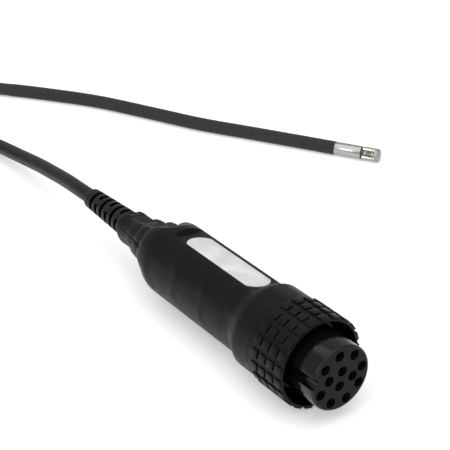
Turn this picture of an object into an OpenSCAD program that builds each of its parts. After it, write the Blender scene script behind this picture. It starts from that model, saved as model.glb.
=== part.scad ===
// Side-view inspection camera on a cable, with a twelve-contact circular plug.
// X runs along the plug's axis, out of its contact face, and Z is up.
// The origin is the centre of the contact face. The plug lies on its knurled nut,
// and the cable, its coil and the camera head lie on the same level surface.
// Distances called "back" are measured from the contact face towards the cable.

/* [Contact insert] */
// Outer radius of the contact insert
insert_r = 11; // [10.4:0.1:11.6]
// Length of the insert from its face to its rear end
insert_len = 23.2; // [22:0.2:25]
// Rounding of the insert's front edge
insert_edge = 0.8; // [0.3:0.1:1.2]
// Width of the keyway
key_w = 3.8; // [2.4:0.1:4.4]
// Depth of the keyway
key_depth = 2; // [1:0.1:2.4]
// Length of the keyway
key_len = 15; // [8:0.5:16]
// Radius of a contact hole at the face
hole_r = 1.7; // [1.5:0.05:1.9]
// Depth of a contact's tip below the face
contact_recess = 1.2; // [0.5:0.1:2]
// Outer radius of a socket contact
contact_r = 1.35; // [1.2:0.05:1.4]
// Inner radius of a socket contact
contact_bore_r = 0.95; // [0.6:0.05:1]
// Wall between the circle of eight contact holes and the insert's side
contact_margin = 1.15; // [0.9:0.05:1.4]
// Angle between neighbours in the circle of eight
outer_pitch = 43; // [40:1:44]
// Distance from the circle of eight in to the two contacts in line with the key
inner_key_step = 3.55; // [3.4:0.05:3.8]
// Distance from the axis of the two contacts across the key
inner_side_r = 2.5; // [2.1:0.1:2.8]

/* [Connector barrel] */
// Wall of the barrel round the insert
barrel_wall = 1; // [0.8:0.1:1.2]
// Distance of the barrel's front end back from the face
barrel_front = 18; // [17:0.5:19]
// Length of the barrel
barrel_len = 18; // [16:0.5:20]

/* [Coupling nut] */
// Distance of the nut's rim back from the face
nut_setback = 9.5; // [7:0.5:11]
// Length of the nut
nut_len = 16.6; // [16:0.2:18]
// Radius of the nut under its raised tiles
nut_r = 15; // [14.8:0.1:16]
// Height of the raised grip tiles
tile_h = 0.5; // [0.2:0.1:0.8]
// Grip tiles in one ring
tiles_round = 21; // [12:1:26]
// Rings of grip tiles
tile_rows = 4; // [2:1:5]
// Inner radius of the nut
nut_bore_r = 14.1; // [13.8:0.1:14.4]
// Height of the inner thread
thread_h = 0.6; // [0.3:0.1:0.7]
// Pitch of the inner thread
thread_pitch = 2; // [1.5:0.5:2.5]
// Length of the nut's rear lip
lip_len = 2.8; // [2:0.2:3.2]

/* [Grip body] */
// Gap between the nut and the body
nut_gap = 0.4; // [0.3:0.1:1]
// Radius of the body's front collar
collar_r = 14.8; // [14.2:0.1:15.2]
// Length of the front collar
collar_len = 9; // [7:0.5:11]
// Radius of the grip
grip_r = 13.2; // [12.8:0.1:13.8]
// Length of the grip, from the collar's ramp to the shoulder
grip_len = 47.8; // [44:0.2:60]
// Height of the label flat above the axis
flat_h = 11.7; // [11.2:0.1:12.2]
// Wall of the shells
wall = 1.8; // [1.4:0.1:2.2]
// Diameter of the finger dimples
dimple_d = 14.6; // [12:0.2:15]
// Distance between finger dimples
dimple_pitch = 15.4; // [15:0.1:16]
// Depth of the finger dimples
dimple_depth = 0.7; // [0.3:0.1:1]
// Angle by which the plug lies rolled about its axis
roll = 10; // [0:1:20]

/* [Label] */
// Width of the blank label
label_w = 10; // [8:0.2:10.6]
// Length of the blank label
label_len = 38.8; // [20:0.2:42]
// Sideways offset of the label from the middle of the flat
label_side = -0.7; // [-0.7:0.1:0.7]
// Thickness of the blank label
label_t = 0.3; // [0.1:0.05:0.5]

/* [Boot and cable] */
// Radius of the smooth cable
lead_r = 2.8; // [2.5:0.05:3]
// Radius of the braided cable
braid_r = 2.7; // [2.5:0.05:2.75]
// Visible length of the strain relief boot
boot_len = 24.8; // [20:0.2:30]
// Radius of the boot at the body
boot_r = 4.9; // [4.5:0.1:5]
// Radius of the boot at the cable
boot_tip_r = 3.8; // [3.6:0.1:4.4]
// Width of the boot's slots
slot_w = 1.3; // [0.8:0.1:1.6]
// Distance between the boot's slots
slot_pitch = 3.57; // [3:0.01:3.8]

/* [Camera head] */
// Outer radius of the camera head
head_r = 2.75; // [2.7:0.05:3]
// Wall of the head tube
head_wall = 0.35; // [0.2:0.05:0.4]
// Length of the head tube
head_tube_len = 11.4; // [10:0.2:16]
// Length of the tip housing
tip_len = 7.8; // [7.2:0.2:9]
// Height of the window flat above the head's axis
window_flat_h = 1.8; // [1.7:0.05:2]
// Length of the window
window_len = 4.8; // [4.2:0.1:5]
// Width of the window
window_w = 2.6; // [2.2:0.1:3]
// Elevation at which the window looks out
window_elevation = 27; // [0:1:90]

/* [Hidden] */
$fn = 64;

eps = 0.01;
slip = 0.05;            // radial clearance of a running fit
far = 60;               // longer than any cut needs

// Places back from the contact face
nut_rear = nut_setback + nut_len;
lip_front = nut_rear - lip_len;
body_front = nut_rear + nut_gap;
collar_rear = body_front + collar_len;
grip_front = collar_rear + 2.7;
grip_rear = grip_front + grip_len;
step_c = grip_rear + 9.2;
step_b = step_c + 5.7;
step_a = step_b + 6.4;
body_rear = step_a + 9.3;
boot_rear = body_rear + boot_len;
cable_end_in_plug = grip_rear + 7;

// Radii where one ring of the stepped rear meets the next
step_c_r = 9.85;
step_b_r = 7.95;
step_a_r = 6.4;
body_rear_r = boot_r + 0.1;

seat_r = insert_r - 0.5;         // the insert is thinner where the barrel holds it
outer_circle_r = insert_r - contact_margin - hole_r;
inner_key_r = outer_circle_r - inner_key_step;
seal_t = 1;
barrel_r = insert_r + barrel_wall;
barrel_rear = barrel_front + barrel_len;
flange_r = barrel_r + 1.1;
flange_front = body_front + 3.5;
flange_t = 2;
ring_groove = 0.4;
snap_t = 1.1;
snap_front = lip_front - snap_t - 0.2;
snap_r = nut_bore_r - thread_h - 0.3;
retainer_t = 1.6;
washer_t = 0.8;
washer_r = barrel_r + 1.6;

cavity_r = grip_r - wall - 0.8;
flat_front = grip_front - 0.6;
flat_rear = grip_rear - 4;
dimple_first = grip_front + dimple_d / 2 + 1.7;

// Boards: the contact board is round, the main board lies on the parting plane
board_t = 1.2;
contact_board_front = insert_len + retainer_t;
contact_board_rear = contact_board_front + board_t;
main_board_front = contact_board_rear + 4;
main_board_rear = grip_rear - 0.6;
main_board_w = 15;
tail_r = 0.45;
screw_places = [grip_front + 4.5, main_board_rear - 9];
boss_r = 2;
screw_r = 1;
screw_head_r = 1.9;
screw_seat = cavity_r - 2.6;
header_h = 3.4;
wire_r = 0.4;
wire_z = 1.6;

clamp_back = cable_end_in_plug + 2;
clamp_len = 4.5;
clamp_w = 10.6;
clamp_t = 1.6;
clamp_screw_y = 4.1;
rear_cavity_r = 7.7;

boot_neck_r = 4;
boot_flange_r = 5;
boot_flange_t = 3;
boot_flange_front = step_a - 0.5;

floor_z = -(nut_r + tile_h);

// Camera head: where the cable enters it, and the direction in which it points
head_at = [-141, 116.6, floor_z + head_r];
head_turn = 31.2;
spigot_len = 2;
spigot_r = head_r - head_wall - 0.02;
joint_gap = 0.55;
window_back = head_tube_len + joint_gap + 0.25;
window_t = 0.3;
window_depth = 0.35;
sensor_z = -1.2;

// Cable route: hand-chosen points of its centre line on the way to and from the coil
ferrule_r = 3.4;
ferrule_z = floor_z + ferrule_r;
lead_z = floor_z + lead_r;
braid_z = floor_z + braid_r;
smooth_points = [
    [-150, 0.3, -0.5], [-160, 1.2, -1.7], [-172, 2, -3.4],
    [-186, 2.9, -5.6], [-203, 3.3, -8.4], [-220, 3.1, -10.8], [-233, 1.5, -12.1],
    [-241, -3, -12.3], [-247, -11, -12.2], [-250, -19, ferrule_z]];
smooth_route = concat([[-boot_rear, 0, 0]], [for (p = smooth_points) if (p[0] < -boot_rear - 4) p]);
link_route = [
    [-254, -30, ferrule_z], [-257, -38, -12], [-261, -47, -9.6], [-263, -54, -7.6]];
braided_route = [
    [-319, -30, braid_z], [-315, -16, braid_z], [-307, 2, braid_z], [-295, 18, braid_z],
    [-278, 33, braid_z], [-259, 48, braid_z], [-239, 61.8, braid_z], [-214, 74.6, braid_z],
    [-193, 85, braid_z], [-174, 96.6, braid_z], [-155, 108.2, braid_z],
    [head_at[0], head_at[1], braid_z]];
coil_at = [-290, -38];
coil_r = 28.5;
coil_half_w = 5.5;
coil_h = 10.9;

function unit(v) = v / norm(v);

// Quarter of an ellipse from [r0, s0], parallel to the axis, down to [r1, s1]
function shoulder(r0, s0, r1, s1) =
    [for (a = [0:15:90]) [r1 + (r0 - r1) * cos(a), s0 + (s1 - s0) * sin(a)]];

// Raised cosine from r0 at s0 to r1 at s1
function taper(r0, s0, r1, s1, n = 8) =
    [for (i = [0:n]) [r1 + (r0 - r1) * (1 + cos(180 * i / n)) / 2, s0 + (s1 - s0) * i / n]];

// Turns [radius, distance back] points about the plug's axis
module lathe(points) {
    rotate([0, -90, 0]) rotate_extrude() polygon(points);
}

// Cylinder or tube about the plug's axis between two distances back
module round_bar(back, len, r) {
    translate([-back, 0, 0]) rotate([0, -90, 0]) cylinder(h = len, r = r);
}

module tube_bar(back, len, r, bore) {
    difference() {
        round_bar(back, len, r);
        round_bar(back - 1, len + 2, bore);
    }
}

// Box between two distances back, centred on the plane y = 0
module block(back, len, w, z0, z1) {
    translate([-back - len, -w / 2, z0]) cube([len, w, z1 - z0]);
}

// Everything of the plug is drawn upright and lies rolled by this
module lie() {
    rotate([-roll, 0, 0]) children();
}

// The head's own frame: x from the cable towards the tip, z out of the window
module at_head() {
    translate(head_at) rotate([0, 0, head_turn]) rotate([90 - window_elevation, 0, 0]) children();
}

// Round tube through the points of a route
module cord_tube(route, r, sides = 10) {
    count = len(route);
    points = [for (i = [0:count - 1])
        let (t = unit(route[min(i + 1, count - 1)] - route[max(i - 1, 0)]),
             side = unit(cross([0, 0, 1], t)), up = cross(t, side))
        for (k = [0:sides - 1])
            route[i] + r * (cos(360 * k / sides) * side + sin(360 * k / sides) * up)];
    walls = [for (i = [0:count - 2]) for (k = [0:sides - 1])
        let (a = i * sides + k, b = i * sides + (k + 1) % sides)
        for (f = [[a, a + sides, b + sides], [a, b + sides, b]]) f];
    first = [for (k = [0:sides - 1]) k];
    last = [for (k = [sides - 1:-1:0]) (count - 1) * sides + k];
    polyhedron(points, concat([first, last], walls));
}

// ---- contacts and insert -------------------------------------------------

// Angle of each contact from the key, and its distance from the axis
outer_angles = [for (side = [1, -1]) for (k = [0:3]) side * (180 - outer_pitch * (3.5 - k) + 1.5)];
contact_places = concat(
    [for (a = outer_angles) [a, outer_circle_r]],
    [[0, inner_key_r], [180, inner_key_r], [90, inner_side_r], [-90, inner_side_r]]);

// Puts its children at one contact; the key is on the -Y side
module at_contact(place) {
    rotate([-place[0], 0, 0]) translate([0, -place[1], 0]) children();
}

module contact_insert() {
    color("#2b2a2a") lie() difference() {
        lathe([[0, 0], [insert_r - insert_edge, 0],
               [insert_r - insert_edge * 0.3, insert_edge * 0.3],
               [insert_r, insert_edge], [insert_r, barrel_front - seal_t],
               [seat_r, barrel_front - seal_t], [seat_r, insert_len], [0, insert_len]]);
        for (place = contact_places) at_contact(place) {
            round_bar(-1, 1 + contact_recess, hole_r);
            round_bar(0, insert_len + 1, contact_r);
        }
        // keyway with a round bottom, open at the face
        keyway_y = insert_r - key_depth + key_w / 2;
        translate([0, -keyway_y, 0]) {
            round_bar(-1, key_len + 1, key_w / 2);
            translate([-key_len, -far, -key_w / 2]) cube([key_len + 1, far, key_w]);
        }
    }
}

module contact(i) {
    color("#c9a24a") lie() at_contact(contact_places[i - 1]) {
        difference() {
            round_bar(contact_recess, insert_len - contact_recess, contact_r);
            round_bar(contact_recess - 1, 9, contact_bore_r);
        }
        round_bar(insert_len - eps, contact_board_rear - insert_len + 1.2, tail_r);
    }
}

module insert_retainer() {
    color("#8d8f92") lie() tube_bar(insert_len, retainer_t, seat_r, seat_r - 1.1);
}

module connector_barrel() {
    color("#3a3b3d") lie() difference() {
        union() {
            round_bar(barrel_front, barrel_len, barrel_r);
            round_bar(flange_front, flange_t, flange_r);
        }
        round_bar(barrel_front - 1, barrel_len + 2, seat_r);
        tube_bar(snap_front, snap_t, far, barrel_r - ring_groove);
    }
}

module face_seal() {
    color("#1c1c1c") lie() tube_bar(barrel_front - seal_t, seal_t, barrel_r, seat_r);
}

module snap_ring() {
    color("#9a9da0") lie() difference() {
        tube_bar(snap_front, snap_t, snap_r, barrel_r - ring_groove);
        block(snap_front - 1, snap_t + 2, 3, 0, far);
    }
}

module thrust_washer() {
    color("#d8d5cc") lie() tube_bar(body_front, washer_t, washer_r, barrel_r);
}

// ---- coupling nut --------------------------------------------------------

// Rings of tiles in straight columns, one column facing the key
module nut_tiles() {
    plain_rear = 1.2;
    front_gap = 0.2;
    row_pitch = (nut_len - plain_rear) / tile_rows;
    tile_w = 1.24 * nut_r * PI / tiles_round;
    for (row = [0:tile_rows - 1]) for (k = [0:tiles_round - 1])
        rotate([90 + k * 360 / tiles_round, 0, 0])
            block(nut_setback + front_gap + row_pitch * row, row_pitch * 0.76, tile_w,
                  nut_r - 0.4, nut_r + tile_h);
}

module coupling_nut() {
    edge = 0.4;
    crest_r = nut_bore_r - thread_h;
    thread_end = lip_front - 2.6;
    thread_start = nut_setback + 1.2;
    turns = floor((thread_end - thread_start) / thread_pitch);
    color("#222324") lie() {
        lathe(concat(
            [[nut_r - edge, nut_setback], [nut_r, nut_setback + edge],
             [nut_r, nut_rear - edge], [nut_r - edge, nut_rear],
             [barrel_r + slip, nut_rear], [barrel_r + slip, lip_front], [nut_bore_r, lip_front]],
            [for (k = [turns:-1:1]) for (p = [[0, 0.25], [-thread_h, 0.1], [-thread_h, -0.1], [0, -0.25]])
                [nut_bore_r + p[0], thread_start + (k - 0.5 + p[1]) * thread_pitch]],
            [[nut_bore_r, nut_setback]]));
        nut_tiles();
    }
}

// ---- grip body -----------------------------------------------------------

// Stepped rear, seen from above and below
module stepped_body() {
    lathe(concat(
        [[0, body_front], [collar_r - 0.4, body_front], [collar_r, body_front + 0.4]],
        taper(collar_r, collar_rear, grip_r, grip_front, 4),
        shoulder(grip_r, grip_rear, step_c_r, step_c),
        shoulder(step_c_r, step_c + 0.8, step_b_r, step_b),
        shoulder(step_b_r, step_b + 1.1, step_a_r, step_a),
        shoulder(step_a_r, step_a + 6, body_rear_r, body_rear),
        [[0, body_rear]]));
}

// Smooth sides that hide the steps from the side
module side_fairing() {
    share = 0.5;
    tops = [[grip_rear, grip_r * share], [step_c, step_c_r * share], [step_b, step_b_r * share],
            [step_a, step_a_r * share], [body_rear, body_rear_r * share]];
    intersection() {
        lathe([[0, grip_rear], [grip_r, grip_rear], [body_rear_r, body_rear], [0, body_rear]]);
        rotate([90, 0, 0]) linear_extrude(height = far, center = true)
            polygon(concat([for (p = tops) [-p[0], p[1]]],
                           [for (i = [len(tops) - 1:-1:0]) [-tops[i][0], -tops[i][1]]]));
    }
}

module finger_dimples() {
    for (side = [1, -1]) for (k = [0:2]) difference() {
        translate([-dimple_first - k * dimple_pitch, side * grip_r, 0])
            rotate([90, 0, 0]) cylinder(h = 8, d = dimple_d, center = true);
        round_bar(grip_front - 5, grip_len + 15, grip_r - dimple_depth);
    }
}

module body_outside() {
    difference() {
        union() {
            stepped_body();
            side_fairing();
        }
        block(flat_front, flat_rear - flat_front, far, flat_h, far);
        finger_dimples();
    }
}

// Hollow for the barrel, the boards, the clamp and the boot's flange
module body_inside() {
    round_bar(body_front - 1, barrel_rear - body_front + 1 + eps, barrel_r);
    round_bar(body_front - 1, washer_t + 1, washer_r);
    round_bar(flange_front, flange_t, flange_r);
    intersection() {
        round_bar(barrel_rear, grip_rear + 2 - barrel_rear, cavity_r);
        block(barrel_rear - 1, far * 2, far, -cavity_r - 1, flat_h - wall);
    }
    round_bar(grip_rear, step_b - grip_rear - 0.6, rear_cavity_r);
    round_bar(step_c, boot_flange_front - step_c + eps, boot_flange_r);
    round_bar(boot_flange_front, boot_flange_t, boot_flange_r);
    round_bar(boot_flange_front, far, boot_neck_r);
}

// Rails that hold the main board's edges, on one side of the parting plane
module board_rails(z0, z1) {
    for (side = [1, -1]) intersection() {
        translate([-main_board_rear + 2, side * (main_board_w / 2 - 1) - (side < 0 ? 4 : 0), z0])
            cube([main_board_rear - barrel_rear - 6, 4, z1 - z0]);
        round_bar(barrel_rear, grip_len, cavity_r + eps);
    }
}

module upper_shell() {
    color("#242526") lie() intersection() {
        block(0, far * 3, far, 0, far);
        difference() {
            union() {
                difference() {
                    body_outside();
                    body_inside();
                }
                board_rails(board_t / 2, 3.2);
                for (s = screw_places) translate([-s, 0, 0]) cylinder(h = flat_h - wall + eps, r = boss_r);
            }
            for (s = screw_places) translate([-s, 0, -1]) cylinder(h = 6, r = screw_r);
        }
    }
}

module lower_shell() {
    color("#242526") lie() intersection() {
        block(0, far * 3, far, -far, 0);
        difference() {
            union() {
                difference() {
                    body_outside();
                    body_inside();
                }
                board_rails(-3.2, -board_t / 2);
                for (s = screw_places) translate([-s, 0, 0]) {
                    translate([0, 0, -cavity_r - eps]) cylinder(h = cavity_r, r = boss_r);
                    translate([0, 0, -cavity_r - eps]) cylinder(h = 4, r = screw_head_r + 1.4);
                }
                // saddle under the cable, with its two screw holes
                intersection() {
                    block(clamp_back, clamp_len, far, -far, 0);
                    round_bar(clamp_back, clamp_len, rear_cavity_r + eps);
                }
            }
            for (s = screw_places) translate([-s, 0, 0]) {
                translate([0, 0, -far]) cylinder(h = far + 1, r = screw_r + 0.2);
                translate([0, 0, -far]) cylinder(h = far - screw_seat, r = screw_head_r + 0.2);
            }
            round_bar(clamp_back - 1, clamp_len + 2, lead_r);
            clamp_screw_holes(0.6);
        }
    }
}

module shell_screws() {
    color("#6e7073") lie() for (s = screw_places) translate([-s, 0, 0]) {
        translate([0, 0, -screw_seat - 0.4]) cylinder(h = screw_seat + 5.2, r = screw_r);
        difference() {
            translate([0, 0, -screw_seat - 1.5]) cylinder(h = 1.5, r = screw_head_r);
            translate([0, 0, -screw_seat - 1.5]) cube([0.5, 2.4, 1.4], center = true);
            translate([0, 0, -screw_seat - 1.5]) cube([2.4, 0.5, 1.4], center = true);
        }
    }
}

module label_plate() {
    end_r = 0.6 * label_w;
    middle = (flat_front + flat_rear) / 2 - 1;
    color("#e9e9e6") lie() translate([-middle, label_side, flat_h])
        linear_extrude(height = label_t) intersection() {
            hull() for (side = [1, -1]) translate([side * (label_len / 2 - end_r), 0]) circle(r = end_r);
            square([label_len, label_w], center = true);
        }
}

// ---- boards and wires ----------------------------------------------------

module contact_board() {
    color("#1d5c38") lie() difference() {
        round_bar(contact_board_front, board_t, seat_r - 0.1);
        for (place = contact_places) at_contact(place)
            round_bar(contact_board_front - 1, board_t + 2, tail_r);
    }
}

module board_header() {
    color("#191919") lie() {
        block(contact_board_rear + 1.2, 6.5, 12, board_t / 2, board_t / 2 + 2.6);
        for (k = [-2:2]) translate([-contact_board_rear - 1.2 - eps, k * 2.2 - 0.25, board_t / 2 + 1])
            cube([1.2 + eps, 0.5, 0.5]);
    }
}

module main_board() {
    color("#1d5c38") lie() difference() {
        block(main_board_front, main_board_rear - main_board_front, main_board_w,
              -board_t / 2, board_t / 2);
        for (s = screw_places) translate([-s, 0, -1]) cylinder(h = 2, r = boss_r + 0.3);
    }
}

// A chip on the main board's upper or lower side
module chip(back, size) {
    translate([-back, 0, board_t / 2 + size[2] / 2]) cube(size, center = true);
}

chip_back = (screw_places[0] + screw_places[1]) / 2;

module image_processor() {
    color("#151515") lie() chip(chip_back, [10, 10, 1.2]);
}

module memory_chip() {
    color("#151515") lie() rotate([180, 0, 0]) chip(chip_back, [8, 11, 1]);
}

module power_inductor() {
    color("#4a4a4c") lie() chip(chip_back - 10, [5, 5, 3]);
}

module cable_header() {
    color("#e4e0d2") lie() block(main_board_rear - 5, 5, 8, board_t / 2, board_t / 2 + header_h);
}

// Four conductors from the cable's cut end to the header
module board_wires() {
    color("#b8322a") lie() for (y = [-1.8, -0.6, 0.6, 1.8])
        translate([0, y, wire_z]) round_bar(main_board_rear, cable_end_in_plug - main_board_rear, wire_r);
}

// ---- cable entry ---------------------------------------------------------

module plug_cable_end() {
    color("#1b1b1c") lie() round_bar(cable_end_in_plug, boot_rear - cable_end_in_plug, lead_r);
}

module clamp_screw_holes(r) {
    for (side = [1, -1]) translate([-clamp_back - clamp_len / 2, side * clamp_screw_y, -4])
        cylinder(h = 12, r = r);
}

module cable_clamp() {
    color("#9a9da0") lie() difference() {
        block(clamp_back, clamp_len, clamp_w, lead_r, lead_r + clamp_t);
        clamp_screw_holes(0.6);
    }
}

module clamp_screws() {
    color("#6e7073") lie() for (side = [1, -1])
        translate([-clamp_back - clamp_len / 2, side * clamp_screw_y, 0]) {
            translate([0, 0, -3.9]) cylinder(h = 3.9 + lead_r + clamp_t, r = 0.6);
            translate([0, 0, lead_r + clamp_t]) cylinder(h = 0.7, r = 1.1);
        }
}

module strain_relief_boot() {
    slots = 6;
    slot_span = 138;
    first_slot_turn = 42;
    color("#1b1b1c") lie() difference() {
        lathe([[lead_r, boot_flange_front], [boot_flange_r, boot_flange_front],
               [boot_flange_r, boot_flange_front + boot_flange_t],
               [boot_neck_r, boot_flange_front + boot_flange_t], [boot_neck_r, body_rear],
               [boot_r, body_rear], [boot_tip_r, boot_rear - 0.5], [boot_tip_r - 0.4, boot_rear],
               [lead_r, boot_rear]]);
        // pairs of slots, each ring of two turned a quarter from the last
        for (k = [0:slots - 1]) for (side = [0, 180])
            translate([-body_rear - 0.7 - k * slot_pitch, 0, 0]) rotate([0, -90, 0])
                rotate([0, 0, side + 90 * (k % 2) + first_slot_turn - slot_span / 2])
                    rotate_extrude(angle = slot_span)
                        translate([lead_r + 0.4, 0]) square([4, slot_w]);
    }
}

// ---- free cable ----------------------------------------------------------

module smooth_lead() {
    color("#1b1b1c") cord_tube(smooth_route, lead_r);
}

module splice_ferrule() {
    from = smooth_route[len(smooth_route) - 1];
    to = link_route[0];
    run = to - from;
    color("#2a2a2b") translate(from) rotate([0, 0, atan2(run[1], run[0])]) rotate([0, 90, 0])
        cylinder(h = norm(run), r = ferrule_r);
}

module braided_link() {
    color("#161616") cord_tube(link_route, braid_r);
}

module cable_coil() {
    color("#161616") translate([coil_at[0], coil_at[1], floor_z]) rotate_extrude()
        translate([coil_r - coil_half_w, 0]) square([2 * coil_half_w, coil_h]);
}

module braided_lead() {
    color("#161616") cord_tube(braided_route, braid_r);
}

// ---- camera head ---------------------------------------------------------

// Cylinder along the head from one distance to another
module head_bar(from, to, r) {
    translate([from, 0, 0]) rotate([0, 90, 0]) cylinder(h = to - from, r = r);
}

tip_start = head_tube_len + joint_gap;
tip_end = head_tube_len + tip_len;
inner_r = head_r - head_wall;
cable_grip = 5;

module head_cable_end() {
    color("#161616") at_head() head_bar(0, cable_grip, braid_r - 0.7);
}

module crimp_sleeve() {
    color("#a9acb0") at_head() difference() {
        head_bar(0, cable_grip, inner_r);
        head_bar(-1, cable_grip + 1, braid_r - 0.7);
    }
}

module head_tube() {
    color("#c9cbcd") at_head() difference() {
        head_bar(0, head_tube_len, head_r);
        head_bar(-1, head_tube_len + 1, inner_r);
    }
}

module tip_housing() {
    edge = 0.9;
    floor_h = window_flat_h - window_depth;
    color("#b9bbbd") at_head() difference() {
        union() {
            head_bar(head_tube_len - spigot_len, tip_start + eps, spigot_r);
            head_bar(tip_start, tip_end - edge, head_r);
            translate([tip_end - edge, 0, 0]) rotate([0, 90, 0]) rotate_extrude()
                polygon(concat([[0, 0]], [for (a = [0:15:90])
                    [head_r - edge + edge * cos(a), edge * sin(a)]], [[0, edge]]));
        }
        // flat round the window, the window's seat and the hollow under it
        translate([tip_start + 0.1, -far / 2, window_flat_h])
            cube([window_len + 0.6, far, far]);
        translate([window_back, -window_w / 2, floor_h]) cube([window_len, window_w, 2]);
        translate([window_back + 0.3, -1, sensor_z - 0.8]) cube([window_len - 0.6, 2, 4]);
        translate([tip_start - 1, -1, sensor_z - 0.8]) cube([window_len, 2, 1.3]);
        head_bar(head_tube_len - spigot_len - 1, tip_start + 0.1, 1.85);
    }
}

window_mid = window_back + window_len / 2;
under_glass = window_flat_h - window_depth - 0.02;

module window_glass() {
    color("#20242a", 0.5) at_head() translate([window_back, -window_w / 2, window_flat_h - window_depth])
        cube([window_len, window_w, window_t]);
}

// A light-emitting diode under the window, at one end of the lens
module led(end) {
    color("#e8c860") at_head()
        translate([window_mid + end * 1.6 - 0.5, -0.8, under_glass - 0.6]) cube([1, 1.6, 0.6]);
}

module lens_barrel() {
    color("#141414") at_head() translate([window_mid, 0, sensor_z + 0.4]) difference() {
        cylinder(h = under_glass - sensor_z - 0.4, r = 0.98);
        translate([0, 0, -1]) cylinder(h = 4, r = 0.7);
    }
}

module objective_lens() {
    color("#30323a") at_head() translate([window_mid, 0, under_glass - 0.9]) cylinder(h = 0.7, r = 0.7);
}

module image_sensor() {
    color("#262a30") at_head() translate([window_mid - 1, -0.95, sensor_z]) cube([2, 1.9, 0.4]);
}

module head_board() {
    color("#1d5c38") at_head()
        translate([cable_grip + 1, -0.95, sensor_z - 0.3]) cube([window_mid + 2 - cable_grip - 1, 1.9, 0.3]);
}

module head_wires() {
    color("#b8322a") at_head() for (y = [-0.6, 0, 0.6])
        translate([0, y, sensor_z + 0.2]) head_bar(cable_grip, cable_grip + 3, 0.2);
}

contact_insert();
for (i = [1:12]) contact(i);
insert_retainer();
connector_barrel();
face_seal();
snap_ring();
coupling_nut();
thrust_washer();
upper_shell();
lower_shell();
label_plate();
shell_screws();
contact_board();
board_header();
main_board();
image_processor();
memory_chip();
power_inductor();
cable_header();
board_wires();
plug_cable_end();
cable_clamp();
clamp_screws();
strain_relief_boot();
smooth_lead();
splice_ferrule();
braided_link();
cable_coil();
braided_lead();
head_cable_end();
crimp_sleeve();
head_tube();
tip_housing();
window_glass();
led(-1);  // led_rear
led(1);  // led_front
lens_barrel();
objective_lens();
image_sensor();
head_board();
head_wires();
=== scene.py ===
"""Looks of a side-view inspection camera probe, built round its CAD parts.

The plug's axis is X, its contact face is at x = 0, and Z is up. Sizes are in metres.
Profiles are written in millimetres as (distance back from the contact face, radius).
"""

import math

import bpy
import numpy as np
from bpy.props import FloatProperty, FloatVectorProperty, IntProperty, PointerProperty
from mathutils import Matrix, Vector


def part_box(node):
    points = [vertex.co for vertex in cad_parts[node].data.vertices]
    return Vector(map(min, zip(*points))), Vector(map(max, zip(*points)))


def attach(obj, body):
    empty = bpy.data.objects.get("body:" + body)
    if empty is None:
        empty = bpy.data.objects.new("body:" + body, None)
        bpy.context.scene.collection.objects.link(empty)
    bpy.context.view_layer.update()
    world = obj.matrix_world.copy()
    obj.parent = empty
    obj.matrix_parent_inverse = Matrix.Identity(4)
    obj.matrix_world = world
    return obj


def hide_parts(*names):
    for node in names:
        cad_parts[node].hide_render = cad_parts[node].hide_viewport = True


bl_info = {
    "name": "Inspection camera probe",
    "version": (1, 0, 0),
    "blender": (4, 5, 0),
    "location": "View3D > Sidebar > Probe",
    "description": "Plug, cable and side-view camera head of an inspection camera probe",
    "category": "Object",
}

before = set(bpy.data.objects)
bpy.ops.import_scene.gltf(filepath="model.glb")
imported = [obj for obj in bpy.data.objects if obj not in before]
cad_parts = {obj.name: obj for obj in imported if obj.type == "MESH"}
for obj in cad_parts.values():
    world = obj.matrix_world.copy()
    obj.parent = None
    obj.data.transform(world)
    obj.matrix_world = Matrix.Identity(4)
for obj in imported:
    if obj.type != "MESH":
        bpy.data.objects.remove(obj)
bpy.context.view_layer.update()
MM = 0.001
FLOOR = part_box("coupling_nut")[0].z
FULL_TURN = 2 * math.pi
HANDLE_END, BOOT_END = 116.6, 141.4


# ---- sizes and colours ------------------------------------------------------


def size(name, description, millimetres):
    """A length that the user can change."""
    return FloatProperty(
        name=name, description=description, default=millimetres * MM, min=0.0, precision=5,
        subtype="DISTANCE", unit="LENGTH",
    )  # fmt: skip


def colour(name, description, value):
    """A colour that the user can change."""
    return FloatVectorProperty(
        name=name, description=description, default=value, size=3, min=0.0, max=1.0, subtype="COLOR"
    )


class ProbeSizes(bpy.types.PropertyGroup):
    """Sizes that the CAD parts leave to the looks."""

    roll: FloatProperty(
        name="Roll",
        description="Angle by which the plug lies rolled about its axis",
        default=math.radians(10),
        subtype="ANGLE",
        unit="ROTATION",
    )
    collar_radius: size("Collar radius", "Radius of the body's front collar", 14.9)
    grip_radius: size("Grip radius", "Radius of the grip", 13.2)
    flat_height: size("Flat height", "Height of the label flat above the axis", 11.7)
    flat_edge: size("Flat edge", "Rounding along the edges of the label flat", 0.22)
    dimple_diameter: size("Dimple diameter", "Diameter of a finger dimple", 14.6)
    dimple_depth: size("Dimple depth", "Depth of a finger dimple", 0.26)
    shell_wall: size("Shell wall", "Wall of the two shells", 1.0)
    parting_gap: size("Parting gap", "Half of the gap between the two shells", 0.03)
    tile_height: size("Tile height", "Height of the nut's raised tiles", 0.5)
    tiles_round: IntProperty(
        name="Tiles round", description="Grip tiles in one ring", default=21, min=3
    )
    tile_rows: IntProperty(
        name="Tile rows", description="Rings of grip tiles", default=4, min=1
    )
    slot_width: size("Slot width", "Width of the boot's slots", 1.6)
    lead_radius: size("Lead radius", "Radius of the smooth cable", 2.8)
    braid_radius: size("Braid radius", "Radius of the braided cable", 2.7)
    braid_strands: IntProperty(
        name="Braid strands",
        description="Strands that run each way round the braid",
        default=16,
        min=4,
    )
    braid_pitch: size("Braid pitch", "Length of one turn of a strand", 14.0)
    head_radius: size("Head radius", "Outer radius of the camera head", 2.75)


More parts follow.
